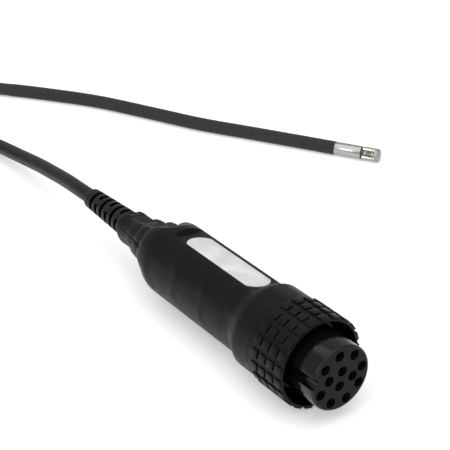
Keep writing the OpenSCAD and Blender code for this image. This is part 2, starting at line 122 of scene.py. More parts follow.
class ProbeColours(bpy.types.PropertyGroup):
    """Colours of the finishes."""

    body: colour("Body", "Soft matt plastic of the handle", (0.0030, 0.0030, 0.0032))
    nut: colour("Nut", "Matt plastic of the coupling nut", (0.0032, 0.0032, 0.0034))
    insert: colour("Insert", "Glossy plastic of the insert's side", (0.0035, 0.0034, 0.0033))
    insert_face: colour("Insert face", "Moulded face of the insert", (0.0070, 0.0064, 0.0060))
    rubber: colour("Boot", "Rubber of the strain relief boot", (0.0045, 0.0045, 0.0047))
    jacket: colour("Jacket", "Smooth cable jacket", (0.0060, 0.0060, 0.0062))
    braid: colour("Braid", "Strands of the braided cable", (0.003, 0.003, 0.003))
    label: colour("Label", "Blank label", (0.66, 0.66, 0.65))
    steel: colour("Steel", "Turned steel of the camera head", (0.40, 0.40, 0.395))
    cap: colour("Cap", "Blasted steel of the rounded tip", (0.34, 0.34, 0.34))
    # painted shade: far darker than plated gold, standing in for the shade inside the insert's holes
    brass: colour("Contacts", "Plated contacts", (0.05, 0.035, 0.018))
    phosphor: colour("Lamp", "Phosphor of the light-emitting diodes", (0.85, 0.66, 0.16))


def sizes():
    return bpy.context.scene.probe_sizes


def colours():
    return bpy.context.scene.probe_colours


# ---- shaping ----------------------------------------------------------------


def pick(piece):
    """Leaves only this piece selected and active, in object mode."""
    if bpy.context.mode != "OBJECT":
        bpy.ops.object.mode_set(mode="OBJECT")
    bpy.ops.object.select_all(action="DESELECT")
    if piece is not None:
        piece.select_set(True)
        bpy.context.view_layer.objects.active = piece


def start_editing(piece):
    pick(piece)
    bpy.ops.object.mode_set(mode="EDIT")
    bpy.ops.mesh.select_all(action="SELECT")


def stop_editing():
    bpy.ops.object.mode_set(mode="OBJECT")


def named(piece, name):
    piece.name = name
    piece.data.name = name
    return piece


def modify(piece, kind, **settings):
    """Adds a modifier and applies it."""
    pick(piece)
    modifier = piece.modifiers.new(kind.title(), kind)
    for key, value in settings.items():
        setattr(modifier, key, value)
    bpy.ops.object.modifier_apply(modifier=modifier.name)
    return piece


def round_edges(piece, width, segments=2, angle=30):
    """Rounds every edge sharper than the angle."""
    return modify(
        piece, "BEVEL", width=width, segments=segments, limit_method="ANGLE",
        angle_limit=math.radians(angle), use_clamp_overlap=True, harden_normals=False,
    )  # fmt: skip


def cut(piece, *tools):
    """Cuts the tools out of the piece and throws them away."""
    for tool in tools:
        modify(piece, "BOOLEAN", operation="DIFFERENCE", object=tool, solver="EXACT")
        bpy.data.objects.remove(tool)
    return piece


def join(*pieces):
    pick(pieces[0])
    for piece in pieces[1:]:
        piece.select_set(True)
    bpy.ops.object.join()
    return pieces[0]


def copied(piece, matrix):
    """A copy with its own mesh, moved by the matrix."""
    copy = piece.copy()
    copy.data = piece.data.copy()
    bpy.context.collection.objects.link(copy)
    copy.data.transform(matrix)
    return copy


def merge_and_face_out(piece):
    start_editing(piece)
    bpy.ops.mesh.remove_doubles(threshold=2e-6)
    bpy.ops.mesh.normals_make_consistent(inside=False)
    stop_editing()
    return piece


def turned(name, profile, steps=128, closed=False, sweep=FULL_TURN, begin=0.0):
    """A profile of (back, radius) in millimetres, extruded point by point and spun about the plug's axis.

    closed joins its last point to its first. A sweep of less than a turn gets its two ends filled.
    """
    points = [Vector((-back * MM, 0, radius * MM)) for back, radius in profile]
    if closed:
        points.append(points[0])
    pick(None)
    bpy.ops.mesh.primitive_plane_add(size=MM, location=(0, 0, 0))
    piece = named(bpy.context.object, name)
    start_editing(piece)
    bpy.ops.mesh.merge(type="CENTER")
    bpy.ops.transform.translate(value=points[0])
    for here, there in zip(points, points[1:]):
        bpy.ops.mesh.extrude_region_move(TRANSFORM_OT_translate={"value": there - here})
    bpy.ops.mesh.select_all(action="SELECT")
    bpy.ops.mesh.remove_doubles(threshold=2e-6)
    bpy.ops.mesh.spin(steps=steps, angle=sweep, center=(0, 0, 0), axis=(1, 0, 0))
    bpy.ops.mesh.select_all(action="SELECT")
    bpy.ops.mesh.remove_doubles(threshold=2e-6)
    if sweep < FULL_TURN:
        bpy.ops.mesh.select_all(action="DESELECT")
        bpy.ops.mesh.select_non_manifold()
        bpy.ops.mesh.fill_holes(sides=0)
        bpy.ops.mesh.select_all(action="SELECT")
    bpy.ops.mesh.normals_make_consistent(inside=False)
    stop_editing()
    if begin:
        piece.data.transform(Matrix.Rotation(begin, 4, "X"))
    return piece


def settled(name):
    """Names the piece just added, and leaves its object unmoved, unturned and unscaled."""
    piece = named(bpy.context.object, name)
    bpy.ops.object.transform_apply(location=True, rotation=True, scale=True)
    return piece


def bar(name, back, length, radius, y=0.0, z=0.0, steps=48):
    """A round bar along the plug's axis, for cutting holes."""
    pick(None)
    bpy.ops.mesh.primitive_cylinder_add(
        vertices=steps, radius=radius * MM, depth=length * MM, rotation=(0, math.pi / 2, 0),
        location=(-(back + length / 2) * MM, y * MM, z * MM),
    )  # fmt: skip
    return settled(name)


def box(name, low, high):
    """A box between two corners in millimetres."""
    low, high = Vector(low) * MM, Vector(high) * MM
    pick(None)
    bpy.ops.mesh.primitive_cube_add(size=1, location=(low + high) / 2, scale=high - low)
    return settled(name)


def lie_down(piece):
    """Rolls a piece that was made upright to the way the plug lies."""
    piece.data.transform(Matrix.Rotation(-sizes().roll, 4, "X"))
    return piece


def head_frame():
    """Matrix from the head's own frame, x to the tip and z out of the window, to the part's frame."""
    turn = math.radians(31.2)
    elevation = math.radians(27)
    place = Vector((-141 * MM, 116.6 * MM, FLOOR + sizes().head_radius))
    return (
        Matrix.Translation(place)
        @ Matrix.Rotation(turn, 4, "Z")
        @ Matrix.Rotation(math.pi / 2 - elevation, 4, "X")
    )


def finish(piece, body, finish_name, stands_for=(), smooth=35):
    """Gives a finished piece its shading and material, puts it under its body, and hides the CAD parts it
    stands for.
    """
    pick(piece)
    if smooth:
        bpy.ops.object.shade_smooth_by_angle(angle=math.radians(smooth))
    if finish_name:
        piece.data.materials.clear()
        piece.data.materials.append(bpy.data.materials[finish_name])
    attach(piece, body)
    if stands_for:
        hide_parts(*stands_for)
    return piece


# ---- finishes ---------------------------------------------------------------


class Finish:
    """A node material with one Principled shader, and short ways to add what it shows."""

    def __init__(self, name, roughness=0.5, metallic=0.0, **sockets):
        self.material = bpy.data.materials.new(name)
        self.material.use_nodes = True
        self.tree = self.material.node_tree
        self.shader = self.tree.nodes["Principled BSDF"]
        self.shader.inputs["Roughness"].default_value = roughness
        self.shader.inputs["Metallic"].default_value = metallic
        for key, value in sockets.items():
            self.shader.inputs[key.replace("_", " ")].default_value = value
        self.place = self.tree.nodes.new("ShaderNodeTexCoord").outputs["Object"]
        self.normal = None

    def link(self, a, b):
        self.tree.links.new(a, b)

    def node(self, kind, **values):
        node = self.tree.nodes.new(kind)
        for key, value in values.items():
            if key in node.inputs:
                node.inputs[key].default_value = value
            else:
                setattr(node, key, value)
        return node

    def stretched(self, scale, turn=(0, 0, 0)):
        """The place on the piece, stretched and turned."""
        mapping = self.node("ShaderNodeMapping")
        mapping.inputs["Scale"].default_value = scale
        mapping.inputs["Rotation"].default_value = turn
        self.link(self.place, mapping.inputs["Vector"])
        return mapping.outputs["Vector"]

    def noise(self, scale, detail=2.0, roughness=0.5, vector=None):
        node = self.node("ShaderNodeTexNoise", Scale=scale, Detail=detail, Roughness=roughness)
        self.link(vector or self.place, node.inputs["Vector"])
        return node.outputs["Fac"]

    def ramp(self, value, stops):
        """Colours along a value; each stop is (place, colour)."""
        node = self.node("ShaderNodeValToRGB")
        elements = node.color_ramp.elements
        while len(elements) < len(stops):
            elements.new(0.5)
        for element, (place, shade) in zip(elements, stops):
            element.position = place
            element.color = (*shade, 1)
        self.link(value, node.inputs["Fac"])
        return node.outputs["Color"]

    def spread(self, value, low, high, start=0.3, end=0.7):
        """A value between low and high."""
        node = self.node("ShaderNodeMapRange")
        for key, number in (("From Min", start), ("From Max", end), ("To Min", low), ("To Max", high)):
            node.inputs[key].default_value = number
        self.link(value, node.inputs["Value"])
        return node.outputs["Result"]

    def mix(self, factor, a, b):
        node = self.node("ShaderNodeMix", data_type="RGBA")
        for socket, value in ((node.inputs[0], factor), (node.inputs[6], a), (node.inputs[7], b)):
            if isinstance(value, bpy.types.NodeSocket):
                self.link(value, socket)
            else:
                socket.default_value = value if isinstance(value, float) else (*value, 1)
        return node.outputs[2]

    def tint(self, colour_or_socket):
        if isinstance(colour_or_socket, bpy.types.NodeSocket):
            self.link(colour_or_socket, self.shader.inputs["Base Color"])
        else:
            self.shader.inputs["Base Color"].default_value = (*colour_or_socket, 1)

    def rough(self, socket):
        self.link(socket, self.shader.inputs["Roughness"])

    def bump(self, height, strength, depth):
        """Adds relief of this depth in metres on top of what is there."""
        node = self.node("ShaderNodeBump", Strength=strength, Distance=depth)
        self.link(height, node.inputs["Height"])
        if self.normal is not None:
            self.link(self.normal, node.inputs["Normal"])
        self.normal = node.outputs["Normal"]
        self.link(self.normal, self.shader.inputs["Normal"])


def shade(base, share):
    """The base colour, lighter or darker by a share."""
    return tuple(min(1.0, channel * (1 + share)) for channel in base)


def moulded(name, base, roughness, grain=0.00012, relief=0.25, spread=0.06, **sockets):
    """Moulded plastic or rubber: faint clouds of colour and gloss, and a fine moulded grain."""
    made = Finish(name, roughness=roughness, **sockets)
    clouds = made.noise(160, detail=4)
    made.tint(made.ramp(clouds, [(0.3, shade(base, -0.14)), (0.7, shade(base, 0.16))]))
    made.rough(made.spread(made.noise(420, detail=3), roughness - spread, roughness + spread))
    made.bump(made.noise(0.6 / grain, detail=1), relief, grain * 0.25)
    made.bump(made.noise(300, detail=2), 0.10, 0.00008)
    return made


def bare_metal(name, base, roughness, streak=(40, 2500, 2500), turn=(0, 0, 0), relief=0.15):
    """Metal with fine lines left by polishing or turning."""
    made = Finish(name, roughness=roughness, metallic=1.0)
    lines = made.noise(1.0, detail=3, vector=made.stretched(streak, turn))
    made.tint(made.ramp(lines, [(0.3, shade(base, -0.10)), (0.7, shade(base, 0.08))]))
    made.rough(made.spread(lines, roughness - 0.06, roughness + 0.08))
    made.bump(lines, relief, 0.00002)
    return made


def make_braid(name, base):
    """Woven strands, from the cable's UV map: u along the cable in metres, v round it in turns."""
    count, pitch = sizes().braid_strands, sizes().braid_pitch
    made = Finish(name, roughness=0.32, Specular_IOR_Level=0.2)
    uv = made.node("ShaderNodeUVMap", uv_map="along_and_round")
    apart = made.node("ShaderNodeSeparateXYZ")
    made.link(uv.outputs["UV"], apart.inputs[0])

    def math_node(operation, a, b):
        node = made.node("ShaderNodeMath", operation=operation)
        for socket, value in zip(node.inputs, (a, b)):
            if isinstance(value, bpy.types.NodeSocket):
                made.link(value, socket)
            else:
                socket.default_value = value
        return node.outputs[0]

    along = math_node("MULTIPLY", apart.outputs["X"], count / pitch)
    round_it = math_node("MULTIPLY", apart.outputs["Y"], float(count))
    # fine threads inside each strand, and a crown at each crossing; the crowns' light colour is a painted
    # highlight and the dark between them is painted shade
    threads, waves = [], []
    for sign in (1.0, -1.0):
        lane = math_node("ADD", round_it, math_node("MULTIPLY", along, sign))
        threads.append(math_node("SINE", math_node("MULTIPLY", lane, 5 * FULL_TURN), 0.0))
        waves.append(math_node("SINE", math_node("MULTIPLY", lane, FULL_TURN / 2), 0.0))
    crown = math_node("ABSOLUTE", math_node("MULTIPLY", waves[0], waves[1]), 0.0)
    # painted highlight and shade: crowns tinted up to thirty times lighter than the strands' colour, the
    # gaps darker
    made.tint(made.ramp(crown, [(0.4, shade(base, -0.7)), (0.8, shade(base, 29.0))]))
    made.rough(made.spread(made.noise(500, detail=3), 0.22, 0.36))
    made.bump(crown, 0.8, 0.00015)
    made.bump(math_node("MAXIMUM", threads[0], threads[1]), 0.5, 0.00003)
    return made


def make_finishes():
    tone = colours()
    # name, colour, roughness, grain, relief, shine, and how much the roughness varies
    dark = (
        ("soft_matt_plastic", tone.body, 0.42, 0.00016, 0.25, 0.13, 0.06),
        ("nut_plastic", tone.nut, 0.40, 0.00014, 0.25, 0.13, 0.06),
        ("gloss_insert_plastic", tone.insert, 0.14, 0.00010, 0.05, 0.28, 0.04),
        ("insert_face_plastic", tone.insert_face, 0.50, 0.00018, 0.5, 0.10, 0.06),
        ("boot_rubber_finish", tone.rubber, 0.46, 0.00015, 0.28, 0.22, 0.06),
        ("smooth_jacket", tone.jacket, 0.42, 0.00020, 0.22, 0.22, 0.06),
        # painted shade: near-black plastic with almost no shine, laid on the boot's slots and the nut's
        # bore where shade falls
        ("shaded_plastic", (0.0004, 0.0004, 0.0004), 0.6, 0.00012, 0.25, 0.02, 0.06),
    )
    for name, base, roughness, grain, relief, shine, spread in dark:
        moulded(name, base, roughness, grain, relief, spread, Specular_IOR_Level=shine)
    moulded("ferrule_plastic", (0.016, 0.016, 0.017), 0.40)
    moulded("label_stock", tone.label, 0.42, grain=0.00022, relief=0.10, spread=0.04)
    make_braid("woven_braid", tone.braid)
    bare_metal("turned_steel", tone.steel, 0.24, streak=(60, 3000, 3000), turn=(0, 0, math.radians(-31.2)))
    cap = Finish("blasted_steel", roughness=0.46, metallic=1.0)
    grain = cap.noise(9000, detail=2)
    cap.tint(cap.ramp(grain, [(0.3, shade(tone.cap, -0.12)), (0.7, shade(tone.cap, 0.10))]))
    cap.bump(grain, 0.4, 0.00002)
    # painted shade: the contacts' colour is kept far darker than plated gold to stand for the shade inside
    # the holes
    bare_metal("gold_plating", tone.brass, 0.26, streak=(300, 2000, 2000))
    bare_metal("spring_steel", (0.42, 0.43, 0.44), 0.33)
    bare_metal("black_oxide_screw", (0.16, 0.16, 0.17), 0.38)
    bare_metal("anodised_barrel", (0.045, 0.046, 0.048), 0.36, streak=(2500, 60, 60))
    moulded("seal_rubber_finish", (0.02, 0.02, 0.02), 0.62)
    moulded("washer_plastic", (0.66, 0.64, 0.60), 0.36)
    moulded("header_plastic_cream", (0.70, 0.66, 0.54), 0.42)
    moulded("header_plastic_black", (0.018, 0.018, 0.018), 0.45)
    moulded("chip_package", (0.016, 0.016, 0.017), 0.52, grain=0.00008)
    moulded("wire_insulation", (0.42, 0.03, 0.02), 0.38)
    moulded("lens_mount_black", (0.006, 0.006, 0.007), 0.42, grain=0.00006)
    moulded("sensor_surface", (0.02, 0.025, 0.03), 0.16, grain=0.00008)
    board = Finish("circuit_board_green", roughness=0.34)
    tracks = board.noise(1400, detail=1, vector=board.stretched((1, 3, 1)))
    board.tint(board.ramp(tracks, [(0.46, (0.010, 0.085, 0.035)), (0.54, (0.018, 0.130, 0.055))]))
    board.bump(tracks, 0.2, 0.00003)
    lamp = Finish("phosphor_lamp", roughness=0.3, Coat_Weight=0.4)
    speck = lamp.noise(4000, detail=2)
    lamp.tint(lamp.ramp(speck, [(0.3, shade(tone.phosphor, -0.12)), (0.7, shade(tone.phosphor, 0.10))]))
    glass = Finish("window_glass_finish", roughness=0.03, Transmission_Weight=1.0, IOR=1.45)
    haze = glass.noise(300, detail=2)
    glass.tint(glass.ramp(haze, [(0.3, (0.90, 0.92, 0.92)), (0.7, (0.97, 0.98, 0.98))]))
    lens = Finish("lens_glass_finish", roughness=0.12, Specular_IOR_Level=0.12)
    depth = lens.noise(700, detail=2)
    lens.tint(lens.ramp(depth, [(0.3, (0.006, 0.006, 0.010)), (0.7, (0.014, 0.012, 0.022))]))


# ---- cable ------------------------------------------------------------------

BRAID_Z = -12.8
LEAD_POINTS = [
    (-141.4, 0, 0), (-150, 0.3, -0.5), (-160, 1.2, -1.7), (-172, 2, -3.4),
    (-186, 2.9, -5.6), (-203, 3.3, -8.4), (-220, 3.1, -10.8), (-233, 1.5, -12.1),
    (-241, -3, -12.3), (-247, -11, -12.2), (-250, -19, -12.1),
]  # fmt: skip
LINK_POINTS = [(-254, -30, -12.1), (-257, -38, -12), (-261, -47, -9.6)]
HEAD_POINTS = [
    (-319, -30, BRAID_Z), (-315, -16, BRAID_Z), (-307, 2, BRAID_Z), (-295, 18, BRAID_Z),
    (-278, 33, BRAID_Z), (-259, 48, BRAID_Z), (-239, 61.8, BRAID_Z), (-214, 74.6, BRAID_Z),
    (-193, 85, BRAID_Z), (-174, 96.6, BRAID_Z), (-155, 108.2, BRAID_Z), (-141, 116.6, BRAID_Z),
]  # fmt: skip
COIL_CENTRE = (-290, -38)
COIL_OUTER, COIL_INNER = 31.25, 25.8
COIL_LAYER = 5.45


def coil_points(per_turn=24):
    """The coil, wound inwards on its lower layer and outwards on its upper one."""
    made = []
    turns = 3.458
    # each change is (turn it starts at, turn it ends at, old value, new value)
    radius_steps = [(0.80, 1.00, COIL_OUTER, COIL_INNER), (2.40, 2.60, COIL_INNER, COIL_OUTER)]
    height_steps = [(1.63, 1.83, 0.0, COIL_LAYER)]

    def follow(turn, steps, value):
        for begin, end, old, new in steps:
            share = min(1.0, max(0.0, (turn - begin) / (end - begin)))
            if share > 0:
                value = old + (new - old) * share * share * (3 - 2 * share)
        return value

    for i in range(round(turns * per_turn) + 1):
        turn = i / per_turn
        angle = math.radians(165) + FULL_TURN * turn
        radius = follow(turn, radius_steps, COIL_OUTER)
        height = follow(turn, height_steps, 0.0)
        made.append((
            COIL_CENTRE[0] + radius * math.cos(angle),
            COIL_CENTRE[1] + radius * math.sin(angle),
            BRAID_Z + height,
        ))
    return made


def smooth_line(points, step):
    """Points about a step apart on a smooth curve through the given ones."""
    p = np.array(points, float)
    p = np.vstack([2 * p[0] - p[1], p, 2 * p[-1] - p[-2]])
    dense = []
    for i in range(1, len(p) - 2):
        knots = np.cumsum([0] + [np.linalg.norm(p[i + k] - p[i + k - 1]) ** 0.5 for k in (0, 1, 2)])
        t = np.linspace(knots[1], knots[2], 40, endpoint=False)[:, None]
        a = [
            (knots[k + 1] - t) / (knots[k + 1] - knots[k]) * p[i - 1 + k]
            + (t - knots[k]) / (knots[k + 1] - knots[k]) * p[i + k]
            for k in range(3)
        ]
        b = [
            (knots[k + 2] - t) / (knots[k + 2] - knots[k]) * a[k]
            + (t - knots[k]) / (knots[k + 2] - knots[k]) * a[k + 1]
            for k in range(2)
        ]
        share = (t - knots[1]) / (knots[2] - knots[1])
        dense.append((1 - share) * b[0] + share * b[1])
    dense = np.vstack(dense + [p[-2]])
    length = distances(dense)[-1]
    return points_at(dense, np.linspace(0, length, max(2, round(length / step)) + 1))


def distances(line):
    """Distance of each point along the line."""
    return np.concatenate([[0], np.cumsum(np.linalg.norm(np.diff(line, axis=0), axis=1))])


def points_at(line, places):
    """The line's points at these distances along it."""
    run = distances(line)
    return np.stack([np.interp(places, run, line[:, k]) for k in range(3)], axis=1)


def weave_height(along, turn):
    """Relief of the braid, 0 to 1: two sets of strands that pass over and under each other."""
    count, pitch = sizes().braid_strands, sizes().braid_pitch
    lanes = along * count / pitch
    right, left = turn * count + lanes, turn * count - lanes
    crown_right = np.abs(np.sin(np.pi * right)) ** 0.6
    crown_left = np.abs(np.sin(np.pi * left)) ** 0.6
    over = 0.5 + 0.5 * np.sign(np.sin(np.pi * right)) * np.sign(np.sin(np.pi * left))
    return over * crown_right + (1 - over) * crown_left


def tube_along(name, line, radii, sides, uv_along, relief=None):
    """A closed tube round a line, with a UV map of the distance along it and the turn round it."""
    forward = np.gradient(line, axis=0)
    forward /= np.linalg.norm(forward, axis=1)[:, None]
    side = np.cross([0, 0, 1.0], forward)
    side /= np.linalg.norm(side, axis=1)[:, None]
    up = np.cross(forward, side)
    turn = np.arange(sides) / sides
    around, lift = np.cos(FULL_TURN * turn), np.sin(FULL_TURN * turn)
    reach = np.asarray(radii)[:, None] * np.ones(sides)
    if relief is not None:
        reach = reach + relief(uv_along[:, None], turn[None, :])
    outward = around[None, :, None] * side[:, None, :] + lift[None, :, None] * up[:, None, :]
    rings = line[:, None, :] + reach[:, :, None] * outward
    count = len(line)
    points = np.vstack([rings.reshape(-1, 3), line[:1], line[-1:]])
    faces, uvs = [], []
    for i in range(count - 1):
        for k in range(sides):
            j = (k + 1) % sides
            faces.append((i * sides + k, i * sides + j, (i + 1) * sides + j, (i + 1) * sides + k))
            uvs += [
                (uv_along[i], k / sides), (uv_along[i], (k + 1) / sides),
                (uv_along[i + 1], (k + 1) / sides), (uv_along[i + 1], k / sides),
            ]  # fmt: skip
    for k in range(sides):
        j = (k + 1) % sides
        faces.append((count * sides, j, k))
        faces.append((count * sides + 1, (count - 1) * sides + k, (count - 1) * sides + j))
        uvs += [(uv_along[0], k / sides)] * 3 + [(uv_along[-1], k / sides)] * 3
    mesh = bpy.data.meshes.new(name)
    mesh.from_pydata(points.tolist(), [], faces)
    layer = mesh.uv_layers.new(name="along_and_round")
    layer.data.foreach_set("uv", np.array(uvs, np.float32).ravel())
    piece = bpy.data.objects.new(name, mesh)
    bpy.context.collection.objects.link(piece)
    return merge_and_face_out(piece)


class PROBE_OT_camera(bpy.types.Operator):
    """Puts the camera where it sees the plug's contact face and the camera head."""

    bl_idname = "probe.camera"
    bl_label = "Camera"

    def execute(self, context):
        right, up = Vector((0.5878, 0.8090, 0)), Vector((-0.3922, 0.2850, 0.8746))
        camera = bpy.data.objects.new("camera", bpy.data.cameras.new("camera"))
        camera.data.lens = 112
        camera.data.sensor_width = 36
        camera.data.clip_start = 0.02
        camera.data.clip_end = 20
        turn = Matrix((right, up, right.cross(up))).transposed().to_4x4()
        camera.matrix_world = Matrix.Translation((0.25487, -0.22758, 0.24043)) @ turn
        context.collection.objects.link(camera)
        context.scene.camera = camera
        return {"FINISHED"}


class PROBE_OT_cable(bpy.types.Operator):
    """Lays the cable from the boot to the camera head, smooth at first and braided further on."""

    bl_idname = "probe.cable"
    bl_label = "Cable"

    def execute(self, context):
        lead = np.array(LEAD_POINTS, float) * MM
        rest = LINK_POINTS + coil_points()[::-1] + HEAD_POINTS[1:]
        braid = smooth_line(np.array(rest, float) * MM, 0.5 * MM)
        lead = smooth_line(lead, 1.0 * MM)
        whole = np.vstack([lead, braid])
        length = float(distances(whole)[-1])
        # the ferrule hides where the jacket changes to the braid; only the seen end has woven relief
        braid_from = distances(lead)[-1] + 6 * MM
        woven, sunk = 155, 0.06 * MM
        fine_from = length - woven * MM
        places = np.concatenate([
            np.arange(0, braid_from, 1.0 * MM),
            np.arange(braid_from, fine_from, 1.8 * MM),
            np.linspace(fine_from, length, round(woven / 0.2)),
        ])
        line = points_at(whole, places)
        radii = np.where(places < braid_from, sizes().lead_radius, sizes().braid_radius - sunk)

        def relief(along, turn):
            height = weave_height(along, turn) * 0.18 * MM
            return np.where(along < fine_from, sunk * (along >= braid_from), height)

        cable = tube_along("cable", line, radii, 72, places, relief)
        cable.data.materials.append(bpy.data.materials["smooth_jacket"])
        cable.data.materials.append(bpy.data.materials["woven_braid"])
        uv = cable.data.uv_layers["along_and_round"].data
        for face in cable.data.polygons:
            if uv[face.loop_start].uv[0] >= braid_from:
                face.material_index = 1
        pick(cable)
        bpy.ops.object.shade_smooth()
        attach(cable, "probe")
        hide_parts("smooth_lead", "braided_link", "cable_coil", "braided_lead")
        print("cable length", round(length, 4))
        return {"FINISHED"}


class PROBE_OT_boot(bpy.types.Operator):
    """Moulds the slotted strain relief boot."""

    bl_idname = "probe.boot"
    bl_label = "Strain relief boot"

    def execute(self, context):
        start, end = HANDLE_END, BOOT_END
        boot = turned(
            "boot",
            [
                (106.9, 3.0), (106.9, 4.9), (109.7, 4.9), (109.7, 3.95), (start, 3.95),
                (start + 0.15, 4.75), (start + 0.5, 4.9), (end - 1.2, 3.85), (end - 0.5, 3.72),
                (end - 0.12, 3.4), (end, 3.05), (end - 0.1, 2.86), (end - 0.5, 2.83), (110, 2.83),
            ],
            steps=96,
            closed=True,
        )  # fmt: skip
        width = sizes().slot_width / MM
        sweep = math.radians(150)
        for ring in range(6):
            back = start + 0.7 + ring * 3.57
            for side in (0, 180):
                # the spin runs from its beginning towards smaller angles, and starts at +Z
                middle = side + 42 + 90 * (ring % 2)
                slot = turned(
                    "slot",
                    [(back, 2.95), (back + width, 2.95), (back + width, 7), (back, 7)],
                    steps=24,
                    closed=True,
                    sweep=sweep,
                    begin=math.radians(middle - 90) + sweep / 2,
                )
                cut(boot, slot)
        round_edges(boot, 0.09 * MM, segments=2, angle=40)
        finish(boot, "probe", "boot_rubber_finish", ["strain_relief_boot"])
        # painted shade: the slots' floors and walls get the near-black plastic, standing in for the shade
        # inside them
        boot.data.materials.append(bpy.data.materials["shaded_plastic"])
        for face in boot.data.polygons:
            x, y, z = face.center / MM
            outer = 4.9 - (-x - start) * 1.05 / (end - start)
            wall = abs(face.normal.x) > 0.7 and math.hypot(y, z) > 0.5
            if start + 0.6 < -x < end - 1.4 and (2.85 < math.hypot(y, z) < outer - 0.2 or wall):
                face.material_index = 1
        return {"FINISHED"}


# ---- handle -----------------------------------------------------------------

BODY_FRONT, GRIP_FRONT, GRIP_REAR = 26.4, 38.2, 86.0
COLLAR_REAR, FLAT_FRONT, FLAT_REAR = 34.8, 37.4, 82.0
DIMPLES = (47.2, 62.6, 78.0)
SHOULDERS = [  # each is (from back, from radius, to back, to radius)
    (86.0, 13.2, 95.2, 9.85), (96.0, 9.85, 100.9, 7.95),
    (102.0, 7.95, 107.3, 6.4), (113.3, 6.4, HANDLE_END, 5.0),
]  # fmt: skip


def stepped_radius(back, soften=0.0):
    """Radius of the handle as it shows on its top and underside; soften lengthens the collar's ramp."""
    radius = np.full_like(back, sizes().grip_radius / MM)
    collar, grip = sizes().collar_radius / MM, sizes().grip_radius / MM
    share = np.clip((back - COLLAR_REAR + soften) / (GRIP_FRONT - COLLAR_REAR + 2 * soften), 0, 1)
    ramp = grip + (collar - grip) * (1 + np.cos(np.pi * share)) / 2
    radius = np.where(back < GRIP_FRONT + soften, ramp, radius)
    lip = np.clip((back - BODY_FRONT) / 0.15, 0, 1)
    radius = np.where(back < BODY_FRONT + 0.15, collar - 0.15 + 0.15 * np.sqrt(1 - (1 - lip) ** 2), radius)
    for begin, from_radius, end, to_radius in SHOULDERS:
        share = np.clip((back - begin) / (end - begin), 0, 1)
        drop = to_radius + (from_radius - to_radius) * np.sqrt(1 - share**2)
        radius = np.where(back > begin, drop, radius)
    return radius


def clamp(value):
    return np.clip(value, 0, 1)


def ease(share):
    """A share that starts and ends gently."""
    return share * share * (3 - 2 * share)


def soft_max(a, b, k):
    """The larger of two values, with the change between them rounded over k."""
    h = np.clip(0.5 + 0.5 * (a - b) / k, 0, 1)
    return b + (a - b) * h + k * h * (1 - h)


def soft_min(a, b, k):
    return -soft_max(-a, -b, k)


def body_radius(back, angle):
    """Radius of the handle in millimetres.

    The distance back and the angle from +Y towards the flat are both grids.
    """
    up, side, near = np.sin(angle), np.abs(np.cos(angle)), np.cos(angle) < 0
    # the rear's steps sweep forward over its top and underneath, and are lower on top
    over = ease(clamp((0.60 - side) / 0.35)) * 2.6 * clamp((back - GRIP_REAR + 3) / 6)
    under = clamp(-up / 0.3) * 2.5 * clamp((back - GRIP_REAR + 3) / 6)
    sweep = over * (up > 0) + under * (1 - 0.7 * clamp((back - 97) / 12))
    soften = 2.2 * clamp(np.sin((angle - math.radians(62)) * 180 / 165))
    radius = stepped_radius(back + sweep, soften)
    lower = 0.18 * clamp((back + sweep - GRIP_REAR) / 9.2) * clamp((HANDLE_END - 1.1 - back) / 4)
    level = radius * (1 - lower) / np.maximum(np.abs(up), 0.3) + 0.6 * (lower == 0)
    radius = soft_min(radius, level, 0.6)
    # its sides run smoothly from the grip to the boot, furthest up on the keyed side
    taper = clamp((back - GRIP_REAR) / (HANDLE_END - GRIP_REAR)) ** 0.8
    cone = 13.2 - 8.15 * taper
    slope = np.degrees(np.arcsin(np.abs(up)))
    reach = np.where(up > 0, np.where(near, 66, 52), 20)
    share = ease(clamp((reach - slope) / np.where(up > 0, 32, 18)))
    fill = clamp((back - GRIP_REAR) / 5) * (soft_max(cone, radius, 1.2) - radius)
    radius = radius + fill * share
    # label flat, with a short ramp at each end
    ramp = clamp((FLAT_FRONT + 0.5 - back) / 0.9) + clamp((back - FLAT_REAR + 0.2) / 1.2)
    height = sizes().flat_height / MM + 3.0 * ease(ramp)
    flat = np.where(up > 0.3, height / np.maximum(up, 0.3), 99.0)
    radius = soft_min(radius, flat, sizes().flat_edge / MM)
    # finger dimples on both sides
    y, z = radius * np.cos(angle), radius * up
    rim = sizes().dimple_diameter / MM / 2
    for middle in DIMPLES:
        dip = ease(clamp((rim - np.hypot(back - middle, z)) / 4.0 + 0.5))
        radius = radius - sizes().dimple_depth / MM * dip * (np.abs(y) > 5)
    # on the keyed side a thin groove runs back from the small notch that parts the shells
    line = 0.26 * radius * near
    groove = clamp(back - 99.0) * clamp(113.0 - back) * (line > 0)
    notch = clamp(1.3 - np.abs(back - 96.6) / 3.0) * (line > 0)
    radius = radius - 0.25 * groove * np.exp(-(((z - line) / 0.22) ** 2))
    return radius - 0.9 * notch * np.exp(-(((z - line) / 0.55) ** 4))


def body_places():
    """Distances back at which the handle has a ring of points, closer together at its steps."""
    places = set(np.round(np.linspace(BODY_FRONT, HANDLE_END, 330), 4))
    for edge in [s[2] for s in SHOULDERS[:-1]]:
        places |= {round(edge - d, 4) for d in (0.005, 0.02, 0.05, 0.1, 0.16)} | {round(edge + 0.01, 4)}
    places |= {round(BODY_FRONT + d, 4) for d in (0.02, 0.06, 0.12, 0.2, 0.3, 0.42)}
    return np.array(sorted(places))


